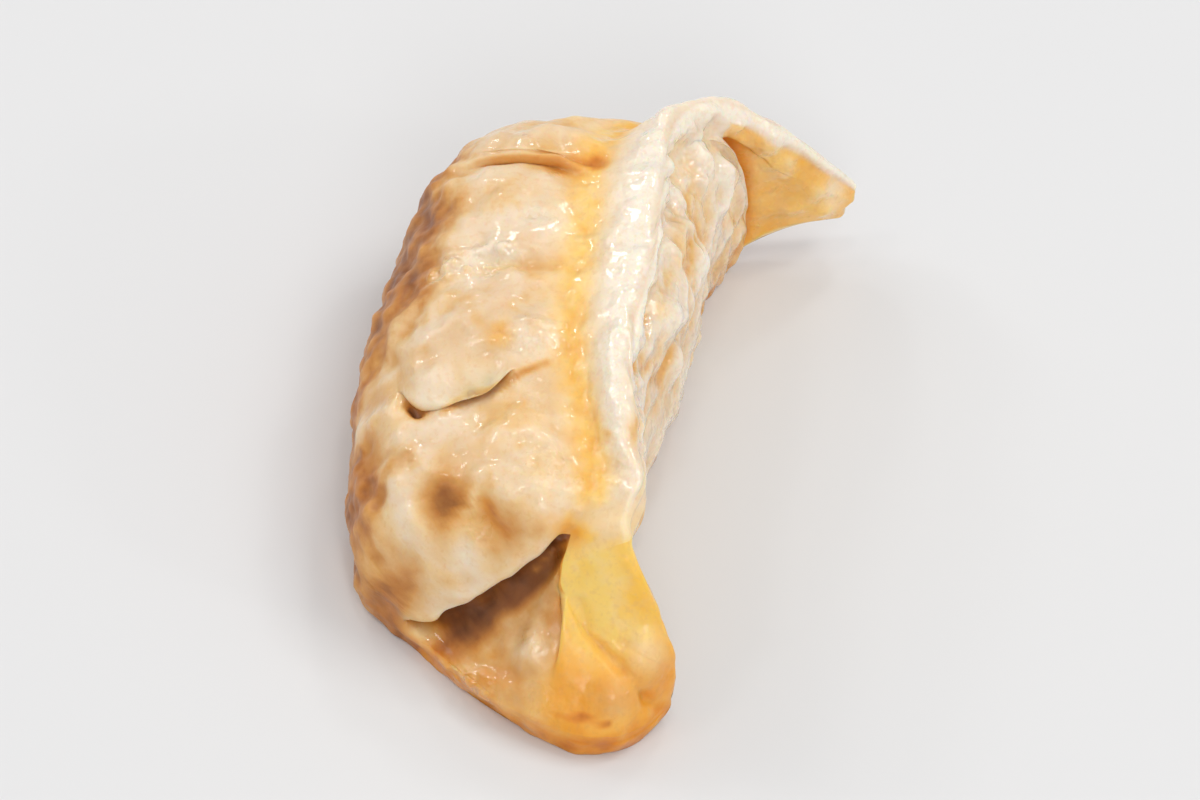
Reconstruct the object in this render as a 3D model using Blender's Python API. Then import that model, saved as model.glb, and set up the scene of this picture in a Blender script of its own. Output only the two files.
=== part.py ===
"""Pan-fried gyoza dumpling, one solid piece of folded dough.

Frame: metres, +Z up.  X runs along the sealed crest (the open pocket end at
+X, the curled tail at -X), the pleated belly faces -Y, the plain back +Y.
The flat fried underside lies on Z = 0.

The body is lofted.  "Stations" number the pleats along the crest:
    0 free edge of the near ear     1 fold between ear and end pocket
    2 lip of the biggest pleat      3, 4, 5 the next pleats
    6 root of the tail              7 tip of the tail
A closed section runs round the body at every column of the loft:
    crest cap - front of the sealed seam - pleated side - base - back -
    back of the seam - crest cap.
Every pleat is an S-shaped fold between two columns: the edge of one lobe is
tucked in, the next lobe lies over it.
Lengths in the tables below are millimetres.
"""
import bpy
import bmesh
import numpy as np
from math import pi
from mathutils import Vector
from mathutils.geometry import tessellate_polygon

MM = 0.001
LENGTH = 75.0           # from the ear to the curl of the tail; the tables are drawn a little larger and scaled to it

# ---- guide curves: (station, size...) -------------------------------------
# free edge of the sealed seam: station, x, y, z
CREST = [(0, 26.5, 9.2, 8.0), (0.35, 26.1, 7.4, 12.6), (0.7, 25.5, 5.7, 16.1), (1, 25.0, 4.6, 18.3),
         (1.5, 24.2, 3.6, 20.2), (2, 22.4, 3.7, 21.5), (2.3, 19.0, 4.5, 23.1), (2.6, 11.5, 1.8, 25.4), (3, 2.0, 0.8, 26.8),
         (3.5, -6.0, 1.3, 27.2), (4, -14.0, 1.5, 27.3), (5, -26.0, 1.8, 26.6), (5.5, -31.5, 2.8, 25.8),
         (6, -35.6, 6.6, 24.0), (6.5, -38.6, 13.6, 17.6), (7, -42.4, 21.2, 8.6)]
# edge of the base under the pleats, and under the plain back: station, x, y
FRONT_FOOT = [(0, 29.6, 10.0), (0.35, 33.0, 7.6), (0.7, 34.9, 4.2), (1, 34.9, 0.4), (1.5, 30.2, -8.0),
              (2, 25.0, -16.4), (2.2, 21.0, -20.6), (2.45, 15.0, -21.8), (3, 1.5, -22.4), (4, -14.0, -20.8),
              (4.6, -22.0, -20.0), (5, -27.4, -18.6), (5.35, -31.0, -13.6), (5.65, -32.2, -6.5), (6, -34.6, 2.4),
              (6.5, -39.9, 12.9), (7, -42.2, 20.0)]
BACK_FOOT = [(0, 27.9, 9.0), (0.5, 30.4, 6.0), (1, 28.6, 4.2), (2, 21.5, 3.2), (3, 4.0, 3.2), (3.5, -5.0, 5.4), (4, -14.0, 6.8),
             (5, -27.0, 7.6), (5.5, -33.0, 9.4), (6, -36.0, 10.0), (6.5, -38.0, 14.2), (7, -40.4, 20.6)]
EAR_LIFT, TAIL_LIFT = 0.8, 4.6          # how far ear edge and tail tip clear the table

# the sealed seam: height of the double dough, its thickness, and how it leans
SEAM_HEIGHT = [(0, 2.5), (0.5, 5.5), (1, 8.2), (1.5, 7.6), (2, 5.8), (2.3, 5.0), (2.6, 4.4), (3, 6.0), (3.5, 7.2), (4, 7.4), (5, 7.2), (5.5, 6.6), (6, 5.0), (6.5, 4.5), (7, 2.2)]
SEAM_THICK = [(0, 2.0), (0.8, 2.0), (1.2, 1.6), (1.8, 1.6), (2.3, 2.2), (5, 2.4), (6, 3.2), (6.5, 2.8), (7, 1.8)]
# root of the seam at the plain back: station, dip x, dip y, height, thickening
BACK_ROOT = [(0, 0.35, 0.0, 2.5, 1.1), (1, 0.10, 0.0, 3.0, 1.1), (2, 0.0, -0.1, 3.5, 1.2), (2.5, 0.0, -0.35, 4.0, 1.6),
             (3, 0.0, -0.6, 5.5, 2.0), (5, 0.0, -0.7, 6.0, 2.0), (6, 0.0, -0.1, 5.0, 1.2), (6.5, 0.0, 0.0, 4.5, 1.1), (7, 0.25, 0.0, 2.2, 1.1)]
SEAM_DIP_X = [(0, 0.35), (0.4, 0.42), (1, 0.08), (1.5, -0.02), (2, -0.15), (2.3, -0.15), (2.6, 0.0), (6.4, 0.0), (7, 0.25)]
SEAM_DIP_Y = [(0, 0.0), (0.4, -0.25), (1, -0.76), (1.5, -0.80), (2, -0.86), (2.3, -0.84), (2.6, -0.45), (3, -0.65), (3.5, -0.78), (4, -0.80), (5, -0.80),
              (5.5, -0.50), (6, -0.10), (6.5, 0.0), (7, 0.0)]

# section of the belly: overhang past the base, height of its widest line,
# roundness (1 straight, 2 round, 3 square-shouldered)
BELLY_OUT = [(0, 0.2), (1, 0.3), (1.8, 0.2), (2.0, 0.3), (2.25, 1.6), (2.6, 2.8), (3, 3.0), (4, 2.8), (5, 2.4), (5.5, 1.6), (6, 0.4), (7, 0.2)]
BELLY_Z = [(0, 3.2), (1, 3.0), (1.9, 2.4), (2.05, 2.8), (2.2, 5.0), (2.5, 7.5), (3, 9.0), (4.5, 10.0), (5.2, 10.0), (6, 7.0), (7, 6.0)]
BELLY_ROUND = [(0, 1.15), (0.8, 1.1), (1.05, 1.1), (1.8, 1.05), (2.0, 1.35), (2.2, 1.8), (2.45, 2.0), (3, 2.0), (4, 2.2), (5, 2.5), (5.4, 2.4), (5.7, 1.9), (6, 1.5), (7, 1.4)]
BACK_OUT = [(0, 0.2), (1, 0.3), (2, 0.8), (3, 1.0), (4, 1.2), (5, 1.0), (6, 0.3), (7, 0.2)]
BACK_ROUND = [(0, 1.2), (1, 1.4), (2, 2.0), (3, 2.4), (5, 2.4), (6, 1.4), (7, 1.4)]

# ---- pleats ----------------------------------------------------------------
# path: station at the seam, then how it drifts towards the base (linear, square)
# near / far: reach of the fold each way; tuck: how deep the near lobe dives;
# lip: how far the next lobe stands proud; under / over: how far they overlap;
# span: where the fold starts, is full, starts to fade and ends, from the seam
# (0) to the base (1); side: pleated front or plain back
PLEATS = [
    dict(path=(1.00, 0, 0), near=0.10, far=0.22, tuck=0.3, lip=-1.4, under=0.02, over=0.02, span=(0.05, 0.25, 0.45, 0.85), side="front", cols=4),
    dict(path=(1.96, 0, 0), near=0.30, far=0.14, tuck=-2.6, lip=0.5, under=0.08, over=0.10, span=(0.04, 0.30, 0.60, 0.88), side="front", cols=7),
    dict(path=(3.02, -1.45, 1.6), near=0.16, far=0.16, tuck=-1.7, lip=1.3, under=0.09, over=0.09, span=(0.0, 0.20, 0.50, 0.72), side="front", cols=6),
    dict(path=(3.52, -0.6, 0.9), near=0.14, far=0.14, tuck=-0.9, lip=0.9, under=0.06, over=0.06, span=(0.0, 0.20, 0.50, 0.75), side="front", cols=5),
    dict(path=(4.34, 0.9, -0.4), near=0.16, far=0.16, tuck=-0.9, lip=0.8, under=0.05, over=0.05, span=(0.0, 0.12, 0.45, 0.70), side="front", cols=5),
    dict(path=(6.00, 0, 0), near=0.12, far=0.20, tuck=0.9, lip=-1.0, under=0.05, over=0.05, span=(0.0, 0.15, 0.75, 1.0), side="back", cols=5),
]
LOBE_REACH = 0.8        # stations over which a lobe settles back after its fold
COLUMNS = (5, 8, 12, 8, 6, 7, 9)               # loft columns on each stretch between pleats
RING = (1, 3, 15, 6, 5, 4, 9, 3, 1)            # section points on each stretch of the ring

DOUGH_COLOR = (0.80, 0.58, 0.33, 1.0)
DOUGH_ROUGHNESS = 0.38


def curve(table, q, col=1):
    """Smooth curve through a table of (station, values...)."""
    a = np.asarray(table, float)
    s, v = a[:, 0], a[:, col]
    q = np.clip(q, s[0], s[-1])
    h = np.diff(s)
    d = np.diff(v) / h
    m = np.empty_like(v)
    m[1:-1] = (d[:-1] * h[1:] + d[1:] * h[:-1]) / (h[1:] + h[:-1])
    m[0], m[-1] = d[0], d[-1]
    i = np.clip(np.searchsorted(s, q, side="right") - 1, 0, len(s) - 2)
    u = (q - s[i]) / h[i]
    return ((2 * u**3 - 3 * u**2 + 1) * v[i] + (u**3 - 2 * u**2 + u) * h[i] * m[i]
            + (-2 * u**3 + 3 * u**2) * v[i + 1] + (u**3 - u**2) * h[i] * m[i + 1])


def ease(a, b, x):
    u = np.clip((x - a) / (b - a), 0, 1)
    return u * u * (3 - 2 * u)


def unit(v):
    return v / np.maximum(np.linalg.norm(v, axis=-1, keepdims=True), 1e-9)


def foot_z(q):
    return EAR_LIFT * (1 - ease(0, 0.35, q)) + TAIL_LIFT * ease(5.6, 6.9, q)


def point(table, q, z=None):
    return np.stack([curve(table, q, 1), curve(table, q, 2), curve(table, q, 3) if z is None else z], -1)


def dip(dx, dy):
    """Downward unit vector leaning by dx, dy."""
    return np.stack([dx, dy, -np.sqrt(np.maximum(1 - dx**2 - dy**2, 0.05))], -1)


def side_profile(root, foot, out, z_wide, power, u, upper):
    """One side of the section: from the seam's root out to the widest line
    (upper) and from there in to the foot (lower)."""
    hor = foot - root
    hor[..., 2] = 0
    reach = np.linalg.norm(hor, axis=-1)
    away = hor / np.maximum(reach, 1e-6)[..., None]
    z_wide = np.maximum(np.minimum(z_wide, root[..., 2] - 1.0), foot[..., 2] + 0.5)
    ang = u * pi / 2
    wide = reach + out
    if upper:
        h = wide * np.sin(ang) ** (2 / power)
        z = z_wide + (root[..., 2] - z_wide) * np.cos(ang) ** (2 / power)
    else:
        h = reach + (wide - reach) * np.cos(ang)
        z = foot[..., 2] + (z_wide - foot[..., 2]) * (1 - np.sin(ang))
    p = root + away * h[..., None]
    p[..., 2] = z
    return p


def body(q, t):
    """Unfolded body: station q and section parameter t (0..9) to a point."""
    crest = point(CREST, q)
    front = point(FRONT_FOOT, q, foot_z(q))
    back = point(BACK_FOOT, q, foot_z(q))
    r = (curve(SEAM_THICK, q) / 2)[..., None]
    down = dip(curve(SEAM_DIP_X, q), curve(SEAM_DIP_Y, q))
    down_b = dip(curve(BACK_ROOT, q, 1), curve(BACK_ROOT, q, 2))
    e = 0.3
    along = unit(point(CREST, np.clip(q + e, 0, 7)) - point(CREST, np.clip(q - e, 0, 7)))
    out = unit(np.cross(along, down))
    cap = crest + down * r
    root = crest + down * curve(SEAM_HEIGHT, q)[..., None]
    root_f = root + out * r * 1.15
    root_b = crest + down_b * curve(BACK_ROOT, q, 3)[..., None] - out * r * curve(BACK_ROOT, q, 4)[..., None]
    k = np.clip(np.floor(t), 0, 8).astype(int)
    u = t - k
    w = u[..., None]
    up = (q * 0 + curve(BELLY_Z, q))
    pieces = [
        cap + r * (-np.cos(w * pi / 2) * down + np.sin(w * pi / 2) * out),
        (cap + r * out) * (1 - w) + root_f * w,
        side_profile(root_f, front, curve(BELLY_OUT, q), up, curve(BELLY_ROUND, q), u, True),
        side_profile(root_f, front, curve(BELLY_OUT, q), up, curve(BELLY_ROUND, q), u, False),
        front * (1 - w) + back * w,
        side_profile(root_b, back, curve(BACK_OUT, q), up * 0.9, curve(BACK_ROUND, q), 1 - u, False),
        side_profile(root_b, back, curve(BACK_OUT, q), up * 0.9, curve(BACK_ROUND, q), 1 - u, True),
        root_b * (1 - w) + (cap - r * out) * w,
        cap + r * (-np.sin(w * pi / 2) * down - np.cos(w * pi / 2) * out),
    ]
    p = np.zeros(q.shape + (3,))
    for i, piece in enumerate(pieces):
        p[k == i] = piece[k == i]
    return p


def outward(q, t):
    e = 0.02
    dq = body(np.clip(q + e, 0, 7), t) - body(np.clip(q - e, 0, 7), t)
    dt = body(q, np.mod(t + e, 9)) - body(q, np.mod(t - e, 9))
    return unit(np.cross(dq, dt))


def loft():
    """Columns of (station, height above the plain body), pleats folded in."""
    t = np.concatenate([k + np.arange(n) / n for k, n in enumerate(RING)])
    down_front = np.clip(np.where(t < 3, (t - 2) * 0.78, 0.78 + (t - 3) * 0.22), 0, 1)
    down_back = np.clip(np.where(t > 6, (7 - t) * 0.78, 0.78 + (6 - t) * 0.22), 0, 1)
    on = {"front": (t >= 2) & (t < 4), "back": (t >= 5) & (t < 7)}
    w = {"front": down_front, "back": down_back}
    line, full = [], []
    for f in PLEATS:
        a, b, c, d = f["span"]
        full.append(ease(a, b, w[f["side"]]) * (1 - ease(c, d, w[f["side"]])) * on[f["side"]])
        line.append(f["path"][0] + f["path"][1] * w[f["side"]] + f["path"][2] * w[f["side"]] ** 2)

    def lobe(k, q):
        d = np.zeros(len(t))
        if k >= 0:
            d += full[k] * PLEATS[k]["lip"] * (1 - np.clip((q - line[k]) / LOBE_REACH, 0, 1)) ** 2
        if k + 1 < len(PLEATS):
            d += full[k + 1] * PLEATS[k + 1]["tuck"] * (1 - np.clip((line[k + 1] - q) / LOBE_REACH, 0, 1)) ** 2
        return d

    q_cols, d_cols = [], []
    for k in range(-1, len(PLEATS)):
        a = np.zeros(len(t)) if k < 0 else line[k] + PLEATS[k]["far"]
        b = np.full(len(t), 7.0) if k + 1 == len(PLEATS) else line[k + 1] - PLEATS[k + 1]["near"]
        for i in range(COLUMNS[k + 1] + 1):
            q = a + (b - a) * i / COLUMNS[k + 1]
            q_cols.append(q)
            d_cols.append(lobe(k, q))
        if k + 1 < len(PLEATS):
            f, e, c = PLEATS[k + 1], full[k + 1], line[k + 1]
            far = c + f["far"]
            d0, d3 = lobe(k, b), lobe(k + 1, far)
            q1 = c * e + (b + (far - b) / 3) * (1 - e) + f["under"] * e
            q2 = c * e + (b + (far - b) * 2 / 3) * (1 - e) - f["over"] * e
            d1, d2 = d0 + (f["tuck"] - d0) * e, d3 + (f["lip"] - d3) * e
            for i in range(1, f["cols"]):
                s = i / f["cols"]
                w0, w1, w2, w3 = (1 - s) ** 3, 3 * s * (1 - s) ** 2, 3 * s * s * (1 - s), s**3
                q_cols.append(w0 * b + w1 * q1 + w2 * q2 + w3 * far)
                d_cols.append(w0 * d0 + w1 * d1 + w2 * d2 + w3 * d3)
    q, d = np.array(q_cols), np.array(d_cols)
    tt = np.broadcast_to(t, q.shape)
    p, n = body(q, tt), outward(q, tt)
    # a fold never pushes through the table
    room = 0.75 * p[..., 2] / np.maximum(np.abs(n[..., 2]), 1e-3)
    d = np.where(n[..., 2] > 0, np.maximum(d, -room), np.minimum(d, room))
    return p + n * d[..., None], n


def build_gyoza():
    p, n = loft()
    pts = p.copy()
    pts[..., 2] = np.maximum(pts[..., 2], 0.0)
    lo, hi = pts.reshape(-1, 3).min(0), pts.reshape(-1, 3).max(0)
    pts = (pts - np.array([(lo[0] + hi[0]) / 2, (lo[1] + hi[1]) / 2, lo[2]])) * LENGTH / (hi[0] - lo[0])
    rows, cols = pts.shape[:2]

    mesh = bpy.data.meshes.new("gyoza")
    bm = bmesh.new()
    grid = [[bm.verts.new(Vector(v) * MM) for v in row] for row in pts]
    for i in range(rows - 1):
        for j in range(cols):
            k = (j + 1) % cols
            bm.faces.new((grid[i][j], grid[i + 1][j], grid[i + 1][k], grid[i][k]))
    for row, flip in ((grid[0], False), (grid[-1], True)):
        for tri in tessellate_polygon([[v.co for v in row]]):
            tri = tri[::-1] if flip else tri
            try:
                bm.faces.new([row[i] for i in tri])
            except ValueError:
                pass
    bmesh.ops.triangulate(bm, faces=[f for f in bm.faces if len(f.verts) > 3])
    bmesh.ops.recalc_face_normals(bm, faces=bm.faces)
    bm.to_mesh(mesh)
    bm.free()
    mesh.shade_smooth()
    obj = bpy.data.objects.new("gyoza", mesh)
    bpy.context.scene.collection.objects.link(obj)

    dough = bpy.data.materials.new("fried_dough")
    dough.use_nodes = True
    bsdf = next(x for x in dough.node_tree.nodes if x.type == "BSDF_PRINCIPLED")
    bsdf.inputs["Base Color"].default_value = DOUGH_COLOR
    bsdf.inputs["Roughness"].default_value = DOUGH_ROUGHNESS
    bsdf.inputs["Metallic"].default_value = 0.0
    mesh.materials.append(dough)
    return obj


for leftover in list(bpy.data.objects):
    bpy.data.objects.remove(leftover, do_unlink=True)
build_gyoza()
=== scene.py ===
"""Looks of the pan-fried gyoza dumpling: one lofted skin of folded dough over the CAD solid.

The skin is drawn in the same table as the solid (millimetres, seam along X,
pleated belly at -Y) and then scaled and placed by the solid's box.
"""
from math import cos, pi, radians, sin

import bpy
import numpy as np
from mathutils import Matrix, Vector


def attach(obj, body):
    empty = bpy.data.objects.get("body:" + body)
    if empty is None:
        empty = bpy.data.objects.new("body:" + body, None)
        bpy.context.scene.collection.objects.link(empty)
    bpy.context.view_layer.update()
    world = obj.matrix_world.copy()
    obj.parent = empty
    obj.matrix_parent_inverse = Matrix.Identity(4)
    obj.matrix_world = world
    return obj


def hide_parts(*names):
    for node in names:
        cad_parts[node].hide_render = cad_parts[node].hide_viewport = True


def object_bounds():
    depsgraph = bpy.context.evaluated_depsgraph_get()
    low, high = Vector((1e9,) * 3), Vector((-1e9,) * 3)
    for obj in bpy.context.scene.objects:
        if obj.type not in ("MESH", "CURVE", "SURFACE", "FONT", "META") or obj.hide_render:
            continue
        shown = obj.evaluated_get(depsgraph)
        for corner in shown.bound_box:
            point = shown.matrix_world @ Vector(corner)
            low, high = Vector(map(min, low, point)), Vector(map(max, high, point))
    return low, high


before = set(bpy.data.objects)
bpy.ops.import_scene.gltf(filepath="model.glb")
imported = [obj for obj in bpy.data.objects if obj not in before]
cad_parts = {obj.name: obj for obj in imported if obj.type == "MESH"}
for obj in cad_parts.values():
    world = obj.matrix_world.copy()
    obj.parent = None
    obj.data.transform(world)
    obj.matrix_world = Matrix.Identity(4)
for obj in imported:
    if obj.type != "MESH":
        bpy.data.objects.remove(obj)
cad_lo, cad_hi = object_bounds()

MM = 0.001

# ---------------------------------------------------------------- guide curves
# stations along the crest: 0 free edge of the near ear, 1 fold between ear and
# end pocket, 2 lip of the biggest pleat, 3-5 next pleats, 6 tail root, 7 tail tip
CREST = [(0, 26.5, 9.2, 8.0), (0.35, 26.1, 7.4, 12.6), (0.7, 25.5, 5.7, 16.1), (1, 25.0, 4.6, 18.3),
         (1.5, 24.2, 3.6, 20.2), (2, 22.4, 3.7, 21.5), (2.3, 19.0, 4.5, 23.1), (2.6, 11.5, 1.8, 25.4), (3, 2.0, 0.8, 26.8),
         (3.5, -6.0, 1.3, 27.2), (4, -14.0, 1.5, 27.3), (5, -26.0, 1.8, 26.6), (5.5, -31.5, 2.8, 25.8),
         (6, -35.6, 6.6, 24.0), (6.5, -38.6, 13.6, 17.6), (7, -42.4, 21.2, 8.6)]
FRONT_FOOT = [(0, 29.2, 9.6), (0.35, 32.4, 7.2), (0.7, 34.5, 4.1), (1, 34.8, 0.3), (1.5, 31.0, -8.0),
              (2, 24.8, -16.2), (2.2, 21.0, -20.6), (2.45, 15.0, -21.8), (3, 1.5, -22.4), (4, -14.0, -20.8),
              (4.6, -22.0, -20.0), (5, -27.4, -18.6), (5.35, -31.0, -13.6), (5.65, -32.2, -6.5), (6, -34.6, 2.4),
              (6.5, -39.9, 12.9), (7, -42.2, 20.0)]
BACK_FOOT = [(0, 27.9, 9.0), (0.5, 30.4, 6.0), (1, 28.6, 4.2), (2, 21.5, 2.6), (3, 4.0, 2.2), (3.5, -5.0, 4.2), (4, -14.0, 5.6),
             (5, -27.0, 6.8), (5.5, -33.0, 9.0), (6, -36.0, 10.0), (6.5, -38.0, 14.2), (7, -40.4, 20.6)]
EAR_LIFT, TAIL_LIFT = 0.8, 4.6
SEAM_HEIGHT = [(0, 2.5), (0.5, 5.5), (1, 8.2), (1.5, 7.6), (2, 5.8), (2.3, 5.0), (2.6, 4.4), (3, 6.0), (3.5, 7.2), (4, 7.4),
               (5, 7.2), (5.5, 6.4), (6, 4.2), (6.5, 3.2), (7, 1.8)]
SEAM_THICK = [(0, 2.0), (0.8, 2.0), (1.2, 1.6), (1.8, 1.7), (2.3, 2.6), (2.8, 3.4), (3.4, 3.4), (5, 3.0), (6, 2.6), (6.5, 2.2), (7, 1.5)]
BACK_ROOT = [(0, 0.35, 0.0, 2.5, 1.1), (1, 0.10, 0.0, 3.0, 1.1), (2, 0.0, 0.0, 3.0, 1.2), (2.5, 0.0, -0.12, 3.0, 1.2),
             (3, 0.0, -0.20, 3.2, 1.2), (5, 0.0, -0.20, 3.2, 1.2), (6, 0.0, -0.1, 4.0, 1.2), (6.5, 0.0, 0.0, 4.5, 1.1),
             (7, 0.25, 0.0, 2.2, 1.1)]
SEAM_DIP_X = [(0, 0.35), (0.4, 0.42), (1, 0.08), (1.5, -0.02), (2, -0.15), (2.3, -0.15), (2.6, 0.0), (6.4, 0.0), (7, 0.25)]
SEAM_DIP_Y = [(0, 0.0), (0.4, -0.25), (1, -0.76), (1.5, -0.80), (2, -0.86), (2.3, -0.84), (2.6, -0.45), (3, -0.65),
              (3.5, -0.78), (4, -0.80), (5, -0.80), (5.5, -0.50), (6, -0.10), (6.5, 0.0), (7, 0.0)]
BELLY_OUT = [(0, 0.5), (1, 0.9), (1.8, 0.7), (2.0, 0.5), (2.25, 1.6), (2.6, 2.8), (3, 3.0), (4, 2.8), (5, 2.4), (5.5, 1.6),
             (6, 0.4), (7, 0.2)]
BELLY_Z = [(0, 2.4), (0.8, 3.2), (1.2, 3.4), (1.9, 3.0), (2.05, 3.0), (2.2, 5.0), (2.5, 7.5), (3, 9.0), (4.5, 10.0), (5.2, 10.0),
           (6, 7.0), (7, 6.0)]
BELLY_ROUND = [(0, 1.15), (0.8, 1.1), (1.05, 1.1), (1.8, 1.05), (2.0, 1.35), (2.2, 1.8), (2.45, 2.0), (3, 2.0), (4, 2.2),
               (5, 2.5), (5.4, 2.4), (5.7, 1.9), (6, 1.5), (7, 1.4)]
BACK_OUT = [(0, 0.2), (1, 0.3), (2, 0.8), (3, 1.0), (4, 1.2), (5, 1.0), (6, 0.3), (7, 0.2)]
BACK_ROUND = [(0, 1.2), (1, 1.4), (2, 2.0), (3, 2.4), (5, 2.4), (6, 1.4), (7, 1.4)]

# pleats: path (station at the seam, drift), reach of the fold each way, tuck of
# the near lobe, lip of the far lobe, overlap, span from seam (0) to base (1), and how dark the slot of each fold is
# painted as shade
PLEATS = [
    dict(path=(1.02, 0.22, 0), near=0.10, far=0.22, tuck=0.3, lip=-1.3, thick=0.2, under=0.02, over=0.02, span=(0.03, 0.16, 0.26, 0.54), side="front", cols=18, stain=0.0),
    dict(path=(1.97, 0.16, 0.06), near=0.46, far=0.22, tuck=-2.8, lip=0.8, thick=1.3, under=0.14, over=0.13, span=(0.02, 0.32, 0.60, 0.80), side="front", cols=44, stain=0.90),
    dict(path=(2.995, -1.224, 1.70), bend=0.55, near=0.18, far=0.20, tuck=-1.1, lip=0.45, thick=0.6, under=0.06, over=0.07, span=(0.11, 0.25, 0.39, 0.50), side="front", cols=40, stain=0.85),
    dict(path=(3.75, -0.85, 1.25), near=0.22, far=0.18, tuck=-0.9, lip=0.0, thick=0.0, under=0.0, over=0.0, span=(0.0, 0.06, 0.20, 0.36), side="front", cols=30, soft=0.085, stain=0.34),
    dict(path=(4.74, 0.0, 0.2), near=0.30, far=0.20, tuck=-0.9, lip=0.6, thick=0.25, under=-0.04, over=-0.02, span=(0.0, 0.08, 0.24, 0.52), side="front", cols=28, stain=0.50),
    dict(path=(5.97, 0.10, -0.25), near=0.20, far=0.24, tuck=1.5, lip=-1.5, thick=1.0, under=0.04, over=0.05, span=(0.0, 0.12, 0.80, 1.0), side="back", cols=30, turned=True, stain=0.30),
]
LOBE_REACH = 0.8
COLUMNS = (24, 26, 50, 30, 26, 32, 40)
RING = (5, 18, 72, 36, 18, 20, 36, 14, 5)
END_ROWS = 6                    # rows that round off the cut ends


def curve(table, q, col=1):
    a = np.asarray(table, float)
    s, v = a[:, 0], a[:, col]
    q = np.clip(q, s[0], s[-1])
    h = np.diff(s)
    d = np.diff(v) / h
    m = np.empty_like(v)
    m[1:-1] = (d[:-1] * h[1:] + d[1:] * h[:-1]) / (h[1:] + h[:-1])
    m[0], m[-1] = d[0], d[-1]
    i = np.clip(np.searchsorted(s, q, side="right") - 1, 0, len(s) - 2)
    u = (q - s[i]) / h[i]
    return ((2 * u**3 - 3 * u**2 + 1) * v[i] + (u**3 - 2 * u**2 + u) * h[i] * m[i]
            + (-2 * u**3 + 3 * u**2) * v[i + 1] + (u**3 - u**2) * h[i] * m[i + 1])


def ease(a, b, x):
    u = np.clip((x - a) / (b - a), 0, 1)
    return u * u * (3 - 2 * u)


def unit(v):
    return v / np.maximum(np.linalg.norm(v, axis=-1, keepdims=True), 1e-9)


def foot_z(q):
    return EAR_LIFT * (1 - ease(0, 0.35, q)) + TAIL_LIFT * ease(5.6, 6.9, q)


def point(table, q, z=None):
    return np.stack([curve(table, q, 1), curve(table, q, 2), curve(table, q, 3) if z is None else z], -1)


def dip(dx, dy):
    return np.stack([dx, dy, -np.sqrt(np.maximum(1 - dx**2 - dy**2, 0.05))], -1)


def side_profile(root, foot, out, z_wide, power, u, upper):
    hor = foot - root
    hor[..., 2] = 0
    reach = np.linalg.norm(hor, axis=-1)
    away = hor / np.maximum(reach, 1e-6)[..., None]
    z_wide = np.maximum(np.minimum(z_wide, root[..., 2] - 1.0), foot[..., 2] + 0.5)
    ang = u * pi / 2
    wide = reach + out
    if upper:
        h = wide * np.sin(ang) ** (2 / power)
        z = z_wide + (root[..., 2] - z_wide) * np.cos(ang) ** (2 / power)
    else:
        h = reach + (wide - reach) * np.cos(ang)
        z = foot[..., 2] + (z_wide - foot[..., 2]) * (1 - np.sin(ang))
    p = root + away * h[..., None]
    p[..., 2] = z
    return p


def body(q, t):
    """Unfolded skin: station q, section parameter t (0..9)."""
    crest = point(CREST, q)
    front = point(FRONT_FOOT, q, foot_z(q))
    back = point(BACK_FOOT, q, foot_z(q))
    r = (curve(SEAM_THICK, q) / 2)[..., None]
    down = dip(curve(SEAM_DIP_X, q), curve(SEAM_DIP_Y, q))
    down_b = dip(curve(BACK_ROOT, q, 1), curve(BACK_ROOT, q, 2))
    e = 0.3
    along = unit(point(CREST, np.clip(q + e, 0, 7)) - point(CREST, np.clip(q - e, 0, 7)))
    out = unit(np.cross(along, down))
    r_edge = r * (0.82 + 0.10 * np.sin(q * 7.3 + 0.6) + 0.08 * np.sin(q * 17.9))[..., None]
    cap = crest + down * r_edge
    root = crest + down * curve(SEAM_HEIGHT, q)[..., None]
    root_f = root + out * r * 1.15
    root_b = crest + down_b * curve(BACK_ROOT, q, 3)[..., None] - out * r * curve(BACK_ROOT, q, 4)[..., None]
    k = np.clip(np.floor(t), 0, 8).astype(int)
    u = t - k
    w = u[..., None]
    up = (q * 0 + curve(BELLY_Z, q))
    pieces = [
        cap + r_edge * (-np.cos(w * pi / 2) * down + np.sin(w * pi / 2) * out),
        (cap + r_edge * out) * (1 - w) + root_f * w,
        side_profile(root_f, front, curve(BELLY_OUT, q), up, curve(BELLY_ROUND, q), u, True),
        side_profile(root_f, front, curve(BELLY_OUT, q), up, curve(BELLY_ROUND, q), u, False),
        front * (1 - w) + back * w,
        side_profile(root_b, back, curve(BACK_OUT, q), up * 0.9, curve(BACK_ROUND, q), 1 - u, False),
        side_profile(root_b, back, curve(BACK_OUT, q), up * 0.9, curve(BACK_ROUND, q), 1 - u, True),
        root_b * (1 - w) + (cap - r_edge * out) * w,
        cap + r_edge * (-np.sin(w * pi / 2) * down - np.cos(w * pi / 2) * out),
    ]
    p = np.zeros(q.shape + (3,))
    for i, piece in enumerate(pieces):
        p[k == i] = piece[k == i]
    return p


def outward(q, t):
    e = 0.02
    dq = body(np.clip(q + e, 0, 7), t) - body(np.clip(q - e, 0, 7), t)
    dt = body(q, np.mod(t + e, 9)) - body(q, np.mod(t - e, 9))
    return unit(np.cross(dq, dt))


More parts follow.
